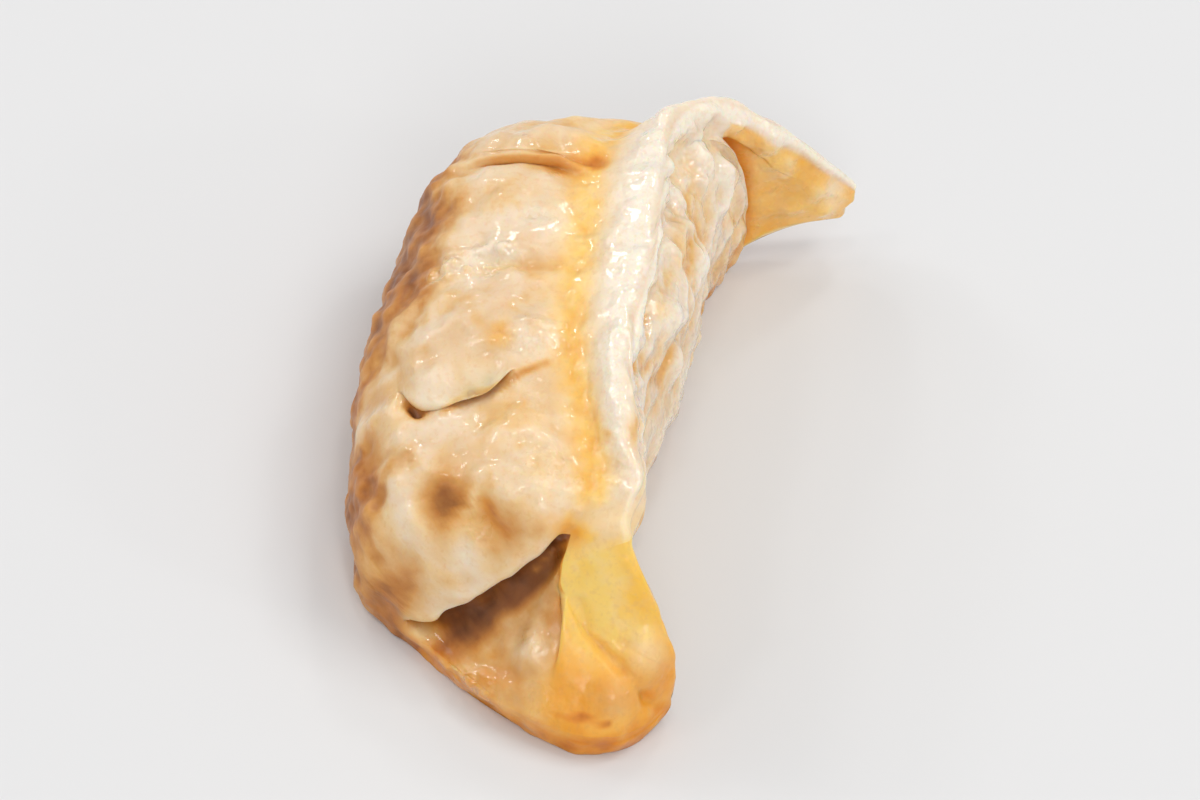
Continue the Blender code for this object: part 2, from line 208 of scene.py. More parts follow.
def fold_line(f, c, e, b, far, d0, d3):
    """Control points across one fold: down into the slot, up under the lip of the next lobe, round it and out."""
    low, high, back, front, tuck, lip = d0, d3, f["near"], f["far"], f["tuck"], f["lip"]
    if f.get("turned"):                     # here the near lobe lies over the far one
        low, high, back, front, tuck, lip = d3, d0, front, back, lip, tuck
    shape = [(-back, low), (-0.55 * back, low + (tuck - low) * 0.45), (f["under"] * 0.3, tuck), (f["under"] * 1.2, tuck * 0.9),
             (f["under"], lip - f["thick"] * 1.25), (-f["over"] * 0.8, lip - f["thick"] * 1.1), (-f["over"] * 1.25, lip - f["thick"] * 0.5),
             (-f["over"] * 0.8, lip + 0.05), (front * 0.35, lip), (front, high)]
    if f.get("turned"):
        shape = [(-a, b) for a, b in shape[::-1]]
    if f.get("soft"):                       # only a valley between two lobes
        shape = [(a, d0 + (d3 - d0) * (a + back) / (back + front) + tuck * np.exp(-(a / f["soft"]) ** 2))
                 for a in np.linspace(-back, front, 10)]
    m = len(shape) - 1
    qs = [c * e + (b + (far - b) * i / m) * (1 - e) + e * s for i, (s, _) in enumerate(shape)]
    ds = [e * d + (1 - e) * (d0 + (d3 - d0) * i / m) for i, (_, d) in enumerate(shape)]
    qs[0], qs[-1] = b, far
    return qs, ds


def spline(pts, u):
    """Uniform cubic B-spline that starts and ends on its end points."""
    pts = [2 * pts[0] - pts[1]] + list(pts) + [2 * pts[-1] - pts[-2]]
    x = u * (len(pts) - 3)
    i = min(int(x), len(pts) - 4)
    w = x - i
    a, b, c, d = pts[i:i + 4]
    return ((1 - w) ** 3 * a + (3 * w**3 - 6 * w**2 + 4) * b + (-3 * w**3 + 3 * w**2 + 3 * w + 1) * c + w**3 * d) / 6


def loft():
    """The folded skin: points, stations, section parameters and how deep in a fold each point lies."""
    t = np.concatenate([k + np.arange(n) / n for k, n in enumerate(RING)])
    down_front = np.clip(np.where(t < 3, (t - 2) * 0.78, 0.78 + (t - 3) * 0.22), 0, 1)
    down_back = np.clip(np.where(t > 6, (7 - t) * 0.78, 0.78 + (6 - t) * 0.22), 0, 1)
    on = {"front": (t >= 2) & (t < 4), "back": (t >= 5) & (t < 7)}
    w = {"front": down_front, "back": down_back}
    line, full = [], []
    for f in PLEATS:
        a, b, c, d = f["span"]
        full.append(ease(a, b, w[f["side"]]) * (1 - ease(c, d, w[f["side"]])) * on[f["side"]])
        along = np.minimum(w[f["side"]], f.get("bend", 1.0))
        line.append(f["path"][0] + f["path"][1] * along + f["path"][2] * along**2)

    pillow = ease(0.02, 0.20, w["front"]) * ease(1.0, 0.62, w["front"]) * on["front"]

    def lobe(k, q):
        d = np.zeros(len(t))
        if 1 <= k <= 4:
            ends = line[k + 1] if k < 4 else line[k] + 1.15
            d += 1.3 * pillow * np.sin(pi * np.clip((q - line[k]) / np.maximum(ends - line[k], 0.2), 0, 1)) ** 0.7
        if k >= 0:
            d += full[k] * PLEATS[k]["lip"] * (1 - np.clip((q - line[k]) / LOBE_REACH, 0, 1)) ** 2
        if k + 1 < len(PLEATS):
            d += full[k + 1] * PLEATS[k + 1]["tuck"] * (1 - np.clip((line[k + 1] - q) / LOBE_REACH, 0, 1)) ** 2
        return d

    q_cols, d_cols, f_cols, l_cols, s_cols = [], [], [], [], []
    for k in range(-1, len(PLEATS)):
        a = np.zeros(len(t)) if k < 0 else line[k] + PLEATS[k]["far"]
        b = np.full(len(t), 7.0) if k + 1 == len(PLEATS) else line[k + 1] - PLEATS[k + 1]["near"]
        for i in range(COLUMNS[k + 1] + 1):
            q = a + (b - a) * i / COLUMNS[k + 1]
            q_cols.append(q)
            d_cols.append(lobe(k, q))
            f_cols.append(np.zeros(len(t)))
            s_cols.append(np.zeros(len(t)))
            l_cols.append(np.full(len(t), k + 1.0))
        if k + 1 < len(PLEATS):
            f, e, c = PLEATS[k + 1], full[k + 1], line[k + 1]
            far = c + f["far"]
            d0, d3 = lobe(k, b), lobe(k + 1, far)
            qs, ds = fold_line(f, c, e, b, far, d0, d3)
            for i in range(1, f["cols"]):
                qi, di = spline(qs, i / f["cols"]), spline(ds, i / f["cols"])
                q_cols.append(qi)
                d_cols.append(di)
                u = 1 - i / f["cols"] if f.get("turned") else i / f["cols"]
                hidden = e * ease(0.14, 0.32, u) * ease(0.56, 0.44, u)
                f_cols.append(0 * e if f.get("soft") else hidden)
                # the sheets inside each fold's slot get painted shade
                s_cols.append(f["stain"] * (e * np.exp(-((u - 0.55) / 0.17) ** 2) if f.get("soft") else hidden))
                l_cols.append(np.full(len(t), k + 1 + i / f["cols"]))
    q, d, fold, layer = np.array(q_cols), np.array(d_cols), np.array(f_cols), np.array(l_cols)
    tt = np.broadcast_to(t, q.shape)
    p, n = body(q, tt), outward(q, tt)
    room = 0.75 * p[..., 2] / np.maximum(np.abs(n[..., 2]), 1e-3)
    d = np.where(n[..., 2] > 0, np.maximum(d, -room), np.minimum(d, room))
    return p + n * d[..., None], q, tt.copy(), fold, layer, np.array(s_cols)


# ---------------------------------------------------------------- noise and masks
def scatter(cell, seed):
    """Three numbers of 0..1 that belong to a whole-numbered cell."""
    h = (cell[..., 0] * 374761393 + cell[..., 1] * 668265263 + cell[..., 2] * 1440662683 + seed * 1274126177) & 0xFFFFFFFF
    h = ((h ^ (h >> 13)) * 1274126177) & 0xFFFFFFFF
    h = ((h ^ (h >> 15)) * 2246822519) & 0xFFFFFFFF
    h ^= h >> 13
    return np.stack([h & 1023, (h >> 10) & 1023, (h >> 20) & 1023], -1) / 1023.0


def noise(p, size, seed=0):
    """Smooth 3-D noise of about -1..1 with one bump per `size` mm (a number or one per axis)."""
    x = p / np.asarray(size, float) + 17.31
    i = np.floor(x).astype(np.int64)
    f = x - i
    u = f**3 * (f * (f * 6 - 15) + 10)
    out = np.zeros(x.shape[:-1])
    for corner in np.ndindex(2, 2, 2):
        c = np.array(corner)
        g = scatter(i + c, seed) * 2 - 1
        out += np.prod(np.where(c == 1, u, 1 - u), axis=-1) * (g * (f - c)).sum(-1)
    return out * 1.5


def fbm(p, size, octaves=3, seed=0, gain=0.5):
    out, a = 0.0, 1.0
    for k in range(octaves):
        out = out + a * noise(p, np.asarray(size, float) / 2**k, seed + 31 * k)
        a *= gain
    return out


def bubbles(p, size, seed=0, fill=0.7):
    """Rounded blisters in cells of `size` mm: 0 between them, up to 1 on top."""
    x = p / size + 5.7
    i = np.floor(x).astype(np.int64)
    out = np.zeros(x.shape[:-1])
    for corner in np.ndindex(3, 3, 3):
        cell = i + np.array(corner) - 1
        a, b = scatter(cell, seed), scatter(cell, seed + 77)
        radius = np.where(b[..., 0] < fill, 0.35 + 0.35 * b[..., 1], 1e-3)
        d = np.linalg.norm(x - cell - a, axis=-1) / radius
        out = np.maximum(out, np.sqrt(np.clip(1 - d * d, 0, 1)) * (0.4 + 0.6 * b[..., 2]))
    return out


def ridged(p, size, seed=0):
    """Sharp crests with wide troughs, about -1..1."""
    return 1 - 3.2 * (np.sqrt(noise(p, size, seed) ** 2 + 0.012) - 0.06)


def blob(p, centre, radius):
    """1 at the centre, fading over the radius (a number or one per axis)."""
    return np.exp(-((((p - np.array(centre)) / np.asarray(radius, float)) ** 2).sum(-1)))


def near_line(p, points, width):
    """1 on a polyline, fading over the width."""
    best = np.full(p.shape[:-1], 1e9)
    pts = np.array(points, float)
    for a, b in zip(pts[:-1], pts[1:]):
        ab = b - a
        s = np.clip(((p - a) @ ab) / (ab @ ab), 0, 1)
        best = np.minimum(best, ((p - a - s[..., None] * ab) ** 2).sum(-1))
    return np.exp(-best / width**2)


def grid_normals(p):
    dt = np.roll(p, -1, 1) - np.roll(p, 1, 1)
    dq = np.gradient(p, axis=0)
    return unit(np.cross(dq, dt))


def broad_normals(p, passes=4):
    """Normals averaged over neighbouring points, for forms that must not cross in a fold."""
    n = grid_normals(p)
    for _ in range(passes):
        n = n + np.roll(n, 1, 1) + np.roll(n, -1, 1)
        n = unit(n + np.concatenate([n[:1], n[:-1]]) + np.concatenate([n[1:], n[-1:]]))
    return n


def skin_lengths(p):
    """Distance along the section of each point, in mm."""
    ring = np.linalg.norm(np.diff(p, axis=1, prepend=p[:, :1]), axis=-1)
    return np.cumsum(ring, axis=1)


# ---------------------------------------------------------------- the dumpling
DENTS = [  # centre, radius, depth, browning
    ((19.9, -15.3, 17.2), (4.0, 2.7, 3.4), 0.9, 0.66),
    ((21.0, -11.2, 18.2), (2.6, 2.4, 2.2), 0.7, 0.32),
    ((22.8, -2.4, 18.5), (1.5, 1.5, 1.7), 0.3, 0.34),
    ((-23.2, -8.6, 24.0), (1.8, 3.4, 2.0), 0.8, 0.36),
    ((-23.2, -5.4, 24.4), (1.2, 1.4, 1.6), 0.5, 0.42),
    ((23.5, -18.4, 8.0), (3.2, 2.8, 3.8), 0.6, 0.54),
    ((11.0, -23.2, 12.9), (4.2, 2.6, 4.0), 0.5, 0.42),
    ((1.4, -12.4, 22.5), (1.3, 1.7, 1.4), 0.5, 0.20),
    ((-1.6, -11.4, 23.3), (1.2, 2.6, 1.4), 0.4, 0.00),
    ((-18.0, -14.5, 22.0), (2.0, 2.6, 2.0), 0.5, 0.14),
    ((15.5, -21.8, 11.0), (3.4, 2.0, 4.0), 0.7, 0.46),
    ((0.0, -21.8, 15.5), (2.8, 2.0, 3.2), 0.6, 0.50),
    ((-9.0, -21.5, 16.5), (3.4, 2.0, 3.6), 0.6, 0.56),
    ((-16.5, -20.8, 16.5), (3.4, 2.0, 4.0), 0.7, 0.60),
    ((-29.0, -12.0, 14.0), (2.6, 3.0, 4.0), 0.7, 0.50),
    ((-16.2, 5.6, 21.5), (2.4, 2.0, 2.2), 1.0, 0.56),
    ((-3.2, 5.4, 19.6), (2.2, 1.8, 2.2), 0.9, 0.48),
    ((-7.2, 3.4, 22.4), (2.4, 1.2, 1.6), 0.7, 0.34),
    ((1.5, 4.4, 16.5), (2.4, 1.8, 3.0), 0.7, 0.46),
    ((12.5, 2.6, 24.0), (3.0, 1.2, 1.4), 0.4, 0.34),
    ((-23.5, 6.6, 18.8), (2.6, 2.0, 2.6), 0.8, 0.24),
    ((-10.5, 7.0, 14.5), (2.4, 2.0, 3.0), 0.7, 0.50),
    ((-19.5, 7.6, 12.0), (2.6, 2.0, 3.0), 0.7, 0.50),
    ((14.0, 4.6, 13.5), (3.0, 2.0, 3.0), 0.6, 0.46),
]
# PIT: a small pit pressed in beside the nose; it is also painted dark as painted shade
PIT = [(7.2, -21.2, 16.4), (8.2, -20.4, 17.0), (9.4, -19.4, 17.6)]
BACK_RIDGE = [(-6.6, 3.6, 22.6), (-8.6, 5.6, 19.5), (-11.6, 7.6, 15.0), (-14.0, 8.2, 10.0)]
BULGES = [  # centre, radius, height
    ((5.9, -18.6, 19.6), (1.7, 2.6, 2.0), 1.1),
    ((29.6, 7.3, 9.3), (2.4, 2.4, 2.6), 1.25),
    ((32.8, 4.3, 6.4), (1.9, 2.0, 2.0), 1.1),
    ((29.4, -4.3, 8.0), (1.7, 1.5, 1.8), 0.9),
    ((18.9, 3.0, 23.8), (2.6, 2.0, 2.0), 0.3),
    ((14.8, -11.6, 20.0), (3.0, 3.0, 2.4), 0.45),
    ((22.8, -13.8, 14.4), (2.2, 3.4, 2.4), 0.5),
    ((20.4, -12.5, 17.7), (1.5, 0.8, 1.6), 0.55),
    ((15.6, -16.8, 16.8), (1.6, 1.2, 1.6), 0.5),
    ((0.9, -8.9, 23.6), (1.6, 1.6, 1.4), 0.5),
    ((-16.5, -10.0, 23.6), (3.4, 3.4, 2.2), 0.5),
    ((-27.0, -9.0, 23.2), (1.6, 5.0, 2.4), 0.7),
    ((8.6, -23.4, 14.6), (1.8, 1.4, 2.0), 0.5),
    ((-36.6, 12.2, 17.6), (1.5, 1.3, 1.4), 0.9),
    ((-37.2, 14.8, 14.6), (1.3, 1.2, 1.1), 0.9),
    ((-37.0, 14.3, 12.2), (1.1, 1.2, 1.0), 0.9),
    ((-38.7, 18.4, 9.3), (1.3, 1.3, 1.3), 0.9),
    ((-39.6, 19.0, 6.4), (1.1, 1.2, 1.0), 0.7),
    ((-38.3, 15.4, 7.4), (1.6, 1.9, 1.1), 0.8),
    ((-36.8, 11.2, 8.6), (1.6, 1.6, 1.6), 0.6),
]
CREAM = [  # pale patches: centre, radius, strength
    ((25.5, -15.8, 3.6), (1.6, 2.2, 1.2), 0.9),
    ((19.6, -12.9, 17.8), (2.4, 0.9, 1.8), 0.7),
    ((-8.0, -17.0, 21.6), (2.6, 3.4, 2.4), 0.6),
    ((-15.0, -11.0, 23.6), (5.0, 5.0, 2.6), 0.5),
    ((-36.6, 12.2, 17.6), (1.2, 1.1, 1.1), 0.5),
    ((-37.2, 14.8, 14.6), (1.0, 1.0, 0.9), 0.5),
    ((-37.0, 14.3, 12.2), (0.9, 1.0, 0.9), 0.4),
    ((-38.7, 18.4, 9.3), (1.1, 1.1, 1.1), 0.5),
    ((-39.9, 20.0, 8.8), (1.4, 1.5, 2.2), 0.7),
    ((-1.3, 4.6, 12.0), (2.4, 2.0, 2.6), 0.7),
    ((-12.0, 4.6, 20.4), (2.2, 1.8, 2.2), 0.6),
    ((-32.6, 8.4, 16.0), (2.2, 2.0, 6.0), 0.9),
    ((-31.0, 7.6, 20.0), (3.4, 2.6, 4.0), 0.7),
    ((-26.0, 4.0, 23.0), (5.0, 2.6, 2.6), 0.7),
    ((-11.8, 4.4, 22.4), (2.6, 1.8, 2.0), 0.6),
    ((12.0, 3.5, 23.0), (5.0, 2.4, 2.0), 0.6),
    ((29.6, 7.3, 9.3), (2.2, 2.2, 2.3), 0.34),
    ((29.4, -4.3, 8.0), (1.5, 1.4, 1.6), 0.80),
    ((-20.5, -16.0, 22.0), (3.0, 3.0, 2.4), 0.50),
    ((8.5, 3.0, 21.5), (3.4, 1.8, 2.4), 0.60),
    ((-29.0, 6.0, 20.5), (2.6, 2.0, 2.6), 0.80),
    ((-8.6, -16.4, 22.2), (3.4, 3.6, 2.0), 0.60),
    ((24.3, -12.4, 13.2), (2.6, 3.0, 2.6), 0.75),
    ((4.4, -14.6, 21.6), (4.0, 3.0, 2.4), 0.45),
    ((2.0, 5.6, 14.5), (3.0, 2.4, 3.4), 0.50),
]
HONEY = [  # golden-tinted patches: centre, radius, strength
    ((21.0, -11.0, 18.0), (3.0, 2.6, 2.6), 0.70),
    ((-16.2, 5.6, 21.5), (3.0, 2.4, 2.6), 0.80),
    ((-3.2, 5.4, 19.0), (4.0, 2.4, 3.6), 0.60),
    ((-7.2, 3.4, 22.4), (2.6, 1.4, 1.8), 0.60),
    ((29.5, -8.6, 3.6), (5.0, 4.0, 2.4), 0.80),
    ((1.2, -12.3, 22.6), (1.3, 1.5, 1.4), 0.90),
    ((1.6, -8.7, 23.2), (2.4, 2.0, 2.0), 0.45),
    ((11.0, -9.4, 20.6), (5.0, 4.2, 4.0), 0.55),
    ((17.0, -5.6, 21.0), (6.0, 3.6, 4.0), 0.55),
    ((4.5, -9.0, 22.5), (2.0, 4.6, 2.2), 0.35),
    ((-6.9, -8.2, 24.0), (1.2, 2.8, 1.6), 0.60),
    ((-24.0, -9.5, 24.0), (2.6, 5.0, 3.0), 0.45),
    ((-31.0, -8.0, 21.0), (4.5, 8.0, 5.0), 0.40),
    ((22.8, -2.0, 18.6), (2.4, 2.2, 2.4), 1.40),
    ((31.0, -4.4, 4.2), (3.0, 2.4, 2.0), 0.80),
    ((6.3, -3.1, 22.8), (0.8, 0.8, 0.9), 1.00),
]
SHOULDER = [(8.0, -21.6, 16.2), (12.0, -20.2, 15.8), (15.5, -18.9, 15.4), (19.5, -17.4, 14.4), (22.6, -15.6, 12.2), (24.4, -12.6, 9.4)]
EAR_FOLD = [(27.4, -0.6, 13.4), (28.9, 1.0, 10.9), (30.8, 4.8, 8.3), (31.4, 7.9, 5.0), (30.4, 10.6, 2.0)]
EAR_EDGE = [(23.1, -1.9, 18.4), (24.0, -3.9, 14.5), (26.3, -4.0, 11.7), (28.9, -3.0, 8.9)]
BULB_EDGE = [(27.0, 6.2, 12.6), (28.2, 4.9, 11.2), (29.4, 4.4, 9.8), (30.6, 4.9, 8.4)]
# GROOVE: a crease line across the belly, painted darker along it as painted shade
GROOVE = [(9.8, -16.9, 19.6), (8.2, -15.0, 20.2), (7.8, -12.3, 21.6), (7.2, -11.0, 22.3), (6.2, -9.9, 22.8), (4.6, -7.4, 23.1)]
RIM = [(21.5, -21.0, 2.4), (24.2, -18.0, 2.4), (27.2, -13.0, 2.6), (30.4, -7.9, 2.9), (33.4, -2.4, 3.2), (34.2, 0.8, 3.6)]
WET = [  # centre, radius, strength
    ((-9.0, -14.0, 23.0), (4.0, 4.0, 2.4), 1.0),
    ((-8.0, -18.5, 20.8), (3.0, 2.6, 2.4), 1.0),
    ((1.6, -9.6, 23.2), (3.6, 4.6, 3.0), 1.0),
    ((17.6, -6.4, 21.6), (4.4, 3.4, 3.0), 1.0),
    ((8.6, -8.0, 22.0), (3.0, 3.0, 2.0), 0.7),
    ((-14.0, -10.0, 24.6), (4.0, 4.0, 2.0), 0.7),
    ((-24.4, -10.6, 24.4), (2.6, 4.4, 2.0), 0.8),
    ((22.4, -11.6, 17.0), (2.4, 2.4, 2.6), 0.8),
    ((29.0, -4.4, 8.2), (2.2, 2.0, 2.2), 1.0),
    ((31.0, -8.6, 3.4), (3.6, 4.4, 2.0), 1.0),
    ((26.0, -15.0, 3.6), (3.0, 3.0, 2.0), 0.7),
    ((25.0, -16.4, 4.6), (2.0, 2.4, 1.6), 0.8),
    ((33.0, 4.0, 6.0), (2.4, 2.6, 2.4), 0.6),
    ((-37.4, 14.0, 15.0), (3.0, 3.6, 4.0), 0.9),
    ((-39.0, 18.6, 8.6), (2.2, 2.2, 2.6), 0.9),
]
FAR_RIM = [(27.2, -13.6, 2.4), (28.6, -11.6, 2.4), (30.2, -9.4, 2.4)]
LOW_MARK = [(33.6, -2.4, 3.4), (34.3, -0.7, 4.3), (34.6, 1.6, 4.7), (34.5, 3.8, 4.3)]
BLISTERS = [(-7.6, -19.2, 20.2), (-8.8, -16.2, 22.4), (-8.8, -12.9, 23.5)]
# section parameter at which the toasted outer side begins, along the crest
TOAST_FROM = [(2.0, 2.74), (2.17, 2.68), (2.34, 2.63), (2.49, 2.58), (2.60, 2.68), (2.72, 2.90), (2.82, 2.82), (2.92, 2.71),
              (3.03, 2.61), (3.13, 2.57), (3.26, 2.52), (3.45, 2.46), (4.0, 2.46), (4.3, 2.45), (4.7, 2.50), (5.2, 2.58), (6.0, 2.60)]


def build_skin():
    p, q, t, fold, layer, stain = loft()
    place = p[..., 2].copy()
    shown = 1 - fold                                 # 0 on the sheets inside a fold
    top = 1 - np.exp(-(((layer % 1) - 0.6) / 0.16) ** 2) * (layer % 1 > 0) * (layer < 3) * (t > 2) * (t < 4)      # 0 on the lip of a fold

    # the skin turns through the two roots of the seam in a soft hollow
    for _ in range(28):
        w = 0.5 * np.exp(-((t - 2.0) / 0.10) ** 2) + 0.3 * np.exp(-((t - 7.0) / 0.10) ** 2)
        w = w * (1 - fold)
        p += w[..., None] * ((np.roll(p, 1, 1) + np.roll(p, -1, 1)) / 2 - p)

    # the crest's free edge wanders a little
    at_crest = np.exp(-(np.minimum(t, 9 - t) / 1.1) ** 2) * ease(1.6, 2.2, q)
    p[..., 2] += at_crest * 0.45 * fbm(np.stack([p[..., 0], q * 0, q * 0], -1), 5.0, 2, 5)
    p[..., 1] += at_crest * 0.75 * fbm(np.stack([p[..., 0], q * 0 + 40, q * 0], -1), 6.5, 2, 6)
    far_edge = np.exp(-((t - 7.75) / 0.65) ** 2) * ease(1.8, 2.4, q) * ease(6.6, 6.0, q)
    p[..., 1] += far_edge * (0.9 * fbm(p, 3.0, 2, 41) + 0.35)
    p[..., 2] += far_edge * 0.55 * fbm(p, 3.4, 2, 42)
    over = np.maximum(p[..., 2] - 26.4, 0)          # the crest stays near the solid's height
    p[..., 2] -= 0.45 * over

    # broad forms
    n = broad_normals(p, 6)
    form = 0.0
    for c, r, depth, _ in DENTS:
        form = form - depth * blob(p, c, r)
    for c, r, height in BULGES:
        form = form + height * blob(p, c, r)
    form = form + 0.6 * near_line(p, SHOULDER, 1.3)
    p += n * (form * shown)[..., None]
    n = broad_normals(p)
    ear = ease(1.25, 1.0, q) * (t < 3.2)
    outer_ear = (t < 3.6) * ease(1.3, 1.1, q)
    p -= n * ((1.05 * near_line(p, EAR_FOLD, 0.65) + 0.65 * near_line(p, BULB_EDGE, 0.55)) * outer_ear)[..., None]
    p -= n * (0.9 * near_line(p, PIT, 0.55) * shown)[..., None]
    p += n * (0.8 * near_line(p, BACK_RIDGE, 1.0) * shown)[..., None]
    p += n * (0.40 * near_line(p, EAR_EDGE, 0.9) * outer_ear)[..., None]
    rim = near_line(p, RIM, 0.8)
    p += n * (0.30 * rim * (place > 0.3))[..., None]

    # wrinkles: belly, browned outer side, back, seam, tail
    length = skin_lengths(p)
    root = np.take_along_axis(length, np.full((len(p), 1), sum(RING[:2])), axis=1)
    run = length - root                              # mm from the root of the seam, down the belly
    xq = np.cumsum(np.concatenate([[0], np.linalg.norm(np.diff(p[:, 0], axis=0), axis=-1)]))[:, None] + 0 * q
    belly = ease(1.95, 2.15, t) * ease(4.05, 3.9, t)
    begins = curve(TOAST_FROM, q) + 0.0 * t
    outer = ease(begins - 0.12, begins + 0.15, t) * ease(4.05, 3.9, t) * ease(1.9, 2.3, q)
    back = ease(4.95, 5.15, t) * ease(7.9, 7.3, t) * ease(6.1, 5.8, q) * ease(1.3, 1.8, q)
    seam = np.exp(-((np.minimum(t, 9 - t) - 0.8) / 0.8) ** 2)
    crimp = np.exp(-((np.minimum(t + 0.6, 9 - t + 0.0) - 0.6) / 0.9) ** 2) * ease(2.1, 2.6, q) * ease(6.4, 5.6, q)
    valley = np.exp(-((run + 0.2) / 2.0) ** 2) * (t < 4) * ease(1.9, 2.3, q) * ease(6.2, 5.8, q)
    tail_in = ease(5.94, 6.04, q) * ease(5.0, 5.4, t) * ease(8.0, 7.7, t) * (layer > 5.5)
    soft = (fbm(p, 8.0, 2, 1) * 0.60 + fbm(p, 3.2, 2, 2) * 0.32) * belly * (1 - 0.75 * ear)
    lumps = (fbm(p, 4.6, 3, 3) * 0.60 + noise(p, 1.7, 4) * 0.12) * outer
    # wrinkles that run down from the seam on the back
    down_back = skin_lengths(p[:, ::-1])[:, ::-1]
    slant = np.stack([xq + 0.6 * down_back, down_back * 0.85, 0 * q], -1) + fbm(p, 5.0, 2, 23)[..., None] * np.array([1.8, 1.8, 0])
    wrinkle = 0.46 * ridged(slant, 5.2, 7) + 0.22 * ridged(slant, 3.2, 8) + 1.0 * fbm(p, 3.8, 2, 9) + 0.30 * fbm(p, 1.9, 2, 43)
    cross = np.stack([xq * 0.16, run, 0 * q], -1)
    grain = (fbm(p, 1.9, 2, 12) * 0.22 + fbm(p, 4.5, 1, 13) * 0.40 + ridged(cross, 2.6, 15) * 0.10) * seam + ridged(np.stack([xq, run * 0.2, 0 * q], -1), 4.2, 24) * 0.34 * crimp
    curd = fbm(p, 2.4, 2, 17) * 0.36 * valley
    streak = ridged(np.stack([p[..., 1] - 0.25 * p[..., 2], p[..., 2] * 0.10, 0 * q], -1), 1.5, 27) * 0.10 * (t < 3) * ease(1.0, 0.8, q)
    strokes = ridged(np.stack([xq * 0.35, run, 0 * q], -1), 1.6, 18) * 0.16 * np.exp(-((run - 5) / 4.0) ** 2) * ease(2.1, 2.25, q) * ease(2.75, 2.6, q)
    n = broad_normals(p, 2)
    p += n * ((soft + lumps + wrinkle * 0.85 * back + grain + curd + strokes + streak + (fbm(p, 3.4, 1, 19) * 0.55 + fbm(p, 1.9, 1, 28) * 0.22) * tail_in) * (1 - 0.7 * fold) * (0.15 + 0.85 * ease(0.0, 0.25, q) * ease(7.0, 6.7, q)))[..., None]
    spot = near_line(p, BLISTERS, 1.9) + 0.7 * blob(p, (1.6, -8.6, 23.2), (3.0, 2.8, 2.0)) + 0.7 * near_line(p, [(x + 1.6, y + 1.0, z + 0.6) for x, y, z in FAR_RIM], 1.0)
    p += grid_normals(p) * (np.clip(spot, 0, 1) * bubbles(p, 1.45, 20, 0.9) * 0.95 * shown * top)[..., None]

    # thin creases of a single cell are taken out of the crest, the back and the tail
    ease_out = 0.45 * shown * ((t < 1.9) | (t > 5.0)) * ease(0.0, 0.2, q) * ease(7.0, 6.7, q)
    for _ in range(3):
        row = np.concatenate([p[:1], p[:-1]]) + np.concatenate([p[1:], p[-1:]])
        mean = (row + np.roll(p, 1, 1) + np.roll(p, -1, 1)) / 4
        step = (mean - p) * ease_out[..., None]
        step[0] = step[-1] = 0
        p = p + step

    # behind the big pleat the rows lie close together, so the back is evened out along the crest
    close = (layer > 1) & (layer < 2) & ((t > 4.9) | (t < 1.2))
    for _ in range(60):
        row = (np.concatenate([p[:1], p[:-1]]) + np.concatenate([p[1:], p[-1:]])) / 2
        p = p + 0.5 * close[..., None] * (row - p)

    # the underside stays flat
    p[..., 2] = np.where(place <= 1e-6, 0.0, np.maximum(p[..., 2], 0.0))
    wet = np.maximum.reduce([0.55 * valley, 0.8 * seam * ease(1.8, 2.4, q), 0.85 * back, np.clip(spot, 0, 1), 0.6 * tail_in, 0.15 * outer,
                             (0.30 + 0.5 * noise(p, 5.0, 25)) * (1 - 0.6 * outer)] + [amount * blob(p, c, r) for c, r, amount in WET])
    # relief: the skin's height over a smoothed copy, used for the painted shade in hollows and the painted light on
    # rises
    even = p
    for _ in range(24):
        row = np.concatenate([even[:1], even[:-1]]) + np.concatenate([even[1:], even[-1:]])
        even = (row + np.roll(even, 1, 1) + np.roll(even, -1, 1)) / 4
    relief = np.clip(((p - even) * broad_normals(p, 6)).sum(-1) / 0.55, -1, 1) * shown * (place > 0.5)
    detail = dict(relief=relief, run=run, begins=begins, wrinkle=wrinkle * back, valley=valley, tail_in=tail_in, spot=np.clip(spot, 0, 1), back=back,
                  wet=wet * (1 - 0.6 * fold), stain=stain)
    return p, q, t, fold, layer, detail


